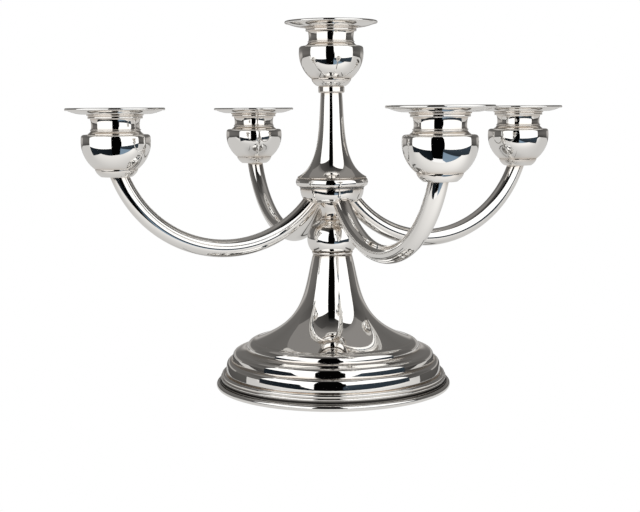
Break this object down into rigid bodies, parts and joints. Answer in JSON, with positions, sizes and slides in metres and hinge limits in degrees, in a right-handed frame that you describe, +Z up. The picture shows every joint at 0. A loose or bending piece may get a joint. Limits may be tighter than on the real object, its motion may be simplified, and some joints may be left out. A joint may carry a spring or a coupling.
{
  "type": "candelabra",
  "caption": "Tabletop candelabra in polished silver plate: curved arms around a central column on a stepped weighted foot, with lift-out candle nozzles and a lift-off branch unit.",
  "frame": {"origin": "centre of the underside of the felt, on the table top", "axes": "+Z up the column; the arms lie along +X, -X, +Y and -Y, so front is -Y"},
  "size_m": [0.3218, 0.3218, 0.2219],
  "materials": {
    "silver_plate": "polished",
    "brass": "satin",
    "steel": "satin",
    "plaster": "matte",
    "board": "matte",
    "felt": "matte"
  },
  "bodies": {
    "base": {"foot_shell": "silver_plate", "foot_edge_wire": "silver_plate", "foot_ballast": "plaster", "base_board": "board", "felt_pad": "felt", "tie_rod": "steel", "tie_washer": "steel", "tie_nut": "brass", "knop_ring": "silver_plate", "knop_body": "silver_plate", "knop_cap": "silver_plate", "spigot_socket": "brass"},
    "spigot": {"branch_spigot": "brass"},
    "branch": {"branch_neck": "silver_plate", "hub_cup": "silver_plate", "hub_core": "brass", "hub_cover": "silver_plate", "hub_ring": "silver_plate", "hub_flange": "silver_plate", "upper_column": "silver_plate", "column_collar": "silver_plate", "branch_rod": "steel", "rod_washer": "steel", "rod_nut": "brass", "arm_left": "silver_plate", "arm_right": "silver_plate", "arm_front": "silver_plate", "arm_back": "silver_plate", "cup_seat_top": "silver_plate", "cup_seat_left": "silver_plate", "cup_seat_right": "silver_plate", "cup_seat_front": "silver_plate", "cup_seat_back": "silver_plate", "seat_bosses": "brass", "cup_screws": "steel", "cup_ball_top": "silver_plate", "cup_ball_left": "silver_plate", "cup_ball_right": "silver_plate", "cup_ball_front": "silver_plate", "cup_ball_back": "silver_plate"},
    "nozzle_top": {"nozzle_sleeve_top": "silver_plate", "drip_pan_top": "silver_plate"},
    "nozzle_left": {"nozzle_sleeve_left": "silver_plate", "drip_pan_left": "silver_plate"},
    "nozzle_right": {"nozzle_sleeve_right": "silver_plate", "drip_pan_right": "silver_plate"},
    "nozzle_front": {"nozzle_sleeve_front": "silver_plate", "drip_pan_front": "silver_plate"},
    "nozzle_back": {"nozzle_sleeve_back": "silver_plate", "drip_pan_back": "silver_plate"}
  },
  "joints": [
    {"name": "branch_lift", "type": "slide", "parent": "base", "child": "spigot", "axis": [0, 0, 1], "range_m": [0, 0.035]},
    {"name": "branch_turn", "type": "hinge", "parent": "spigot", "child": "branch", "pos_m": [0, 0, 0.103], "axis": [0, 0, 1], "continuous": true},
    {"name": "nozzle_top_lift", "type": "slide", "parent": "branch", "child": "nozzle_top", "axis": [0, 0, 1], "range_m": [0, 0.03]},
    {"name": "nozzle_left_lift", "type": "slide", "parent": "branch", "child": "nozzle_left", "axis": [0, 0, 1], "range_m": [0, 0.03]},
    {"name": "nozzle_right_lift", "type": "slide", "parent": "branch", "child": "nozzle_right", "axis": [0, 0, 1], "range_m": [0, 0.03]},
    {"name": "nozzle_front_lift", "type": "slide", "parent": "branch", "child": "nozzle_front", "axis": [0, 0, 1], "range_m": [0, 0.03]},
    {"name": "nozzle_back_lift", "type": "slide", "parent": "branch", "child": "nozzle_back", "axis": [0, 0, 1], "range_m": [0, 0.03]}
  ]
}
